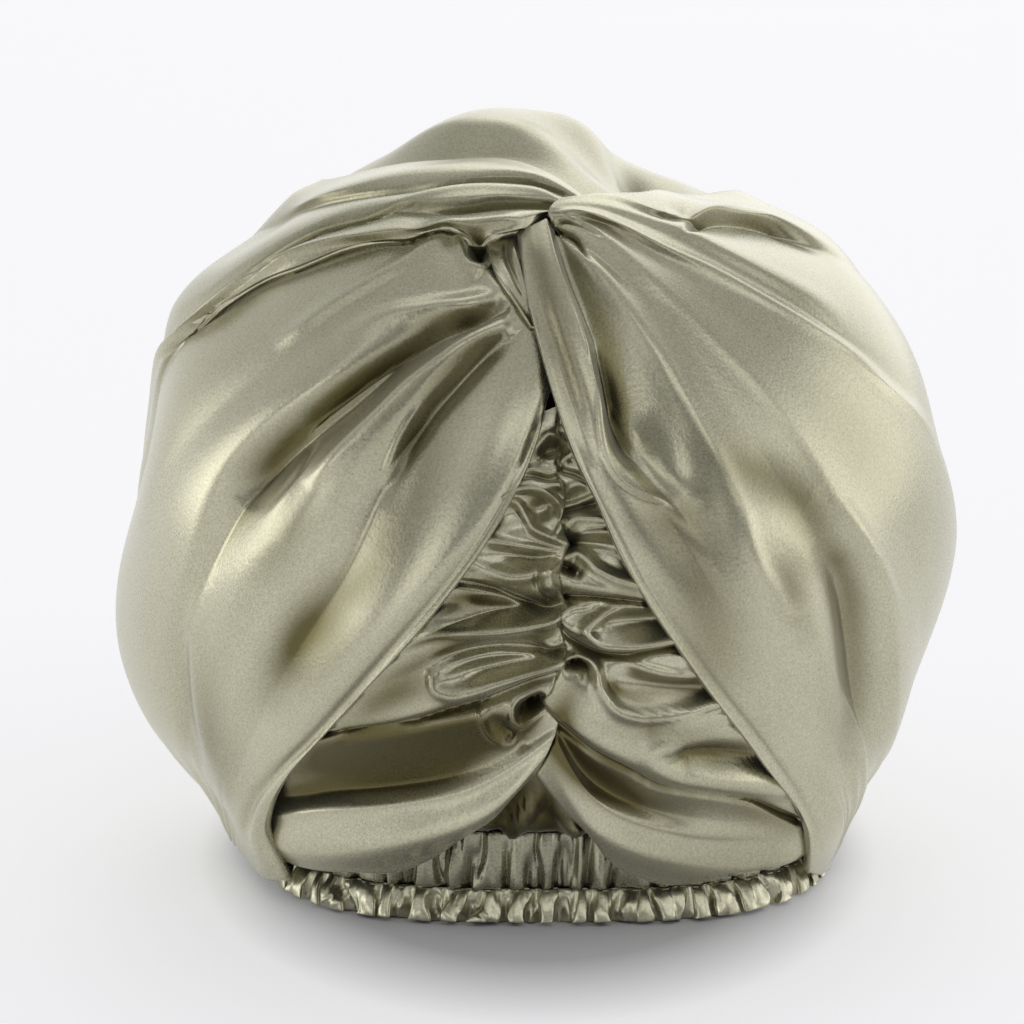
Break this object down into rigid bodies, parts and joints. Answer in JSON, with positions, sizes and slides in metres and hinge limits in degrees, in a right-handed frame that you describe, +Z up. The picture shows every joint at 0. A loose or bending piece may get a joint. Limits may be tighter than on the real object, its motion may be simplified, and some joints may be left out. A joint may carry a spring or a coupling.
{
  "type": "sleep bonnet",
  "caption": "Satin sleep bonnet with a twisted turban front, ruched inner panels, an elastic casing and a short frill, standing on its rim.",
  "frame": {"origin": "on the surface the bonnet stands on, under the middle of its box", "axes": "+X to the wearer's left (the viewer's right), -Y the front with the twist, +Z up"},
  "size_m": [0.2504, 0.2415, 0.2228],
  "materials": {
    "satin": "sage champagne satin, soft sheen",
    "inner_satin": "satin of the inner cap and the pleated casing"
  },
  "bodies": {
    "root": {"crown": "inner_satin", "wrap_left": "satin", "wrap_right": "satin", "twist_tuck": "satin", "front_panel_left": "satin", "front_panel_right": "satin", "elastic_casing": "inner_satin", "hem_frill": "satin"}
  },
  "joints": []
}
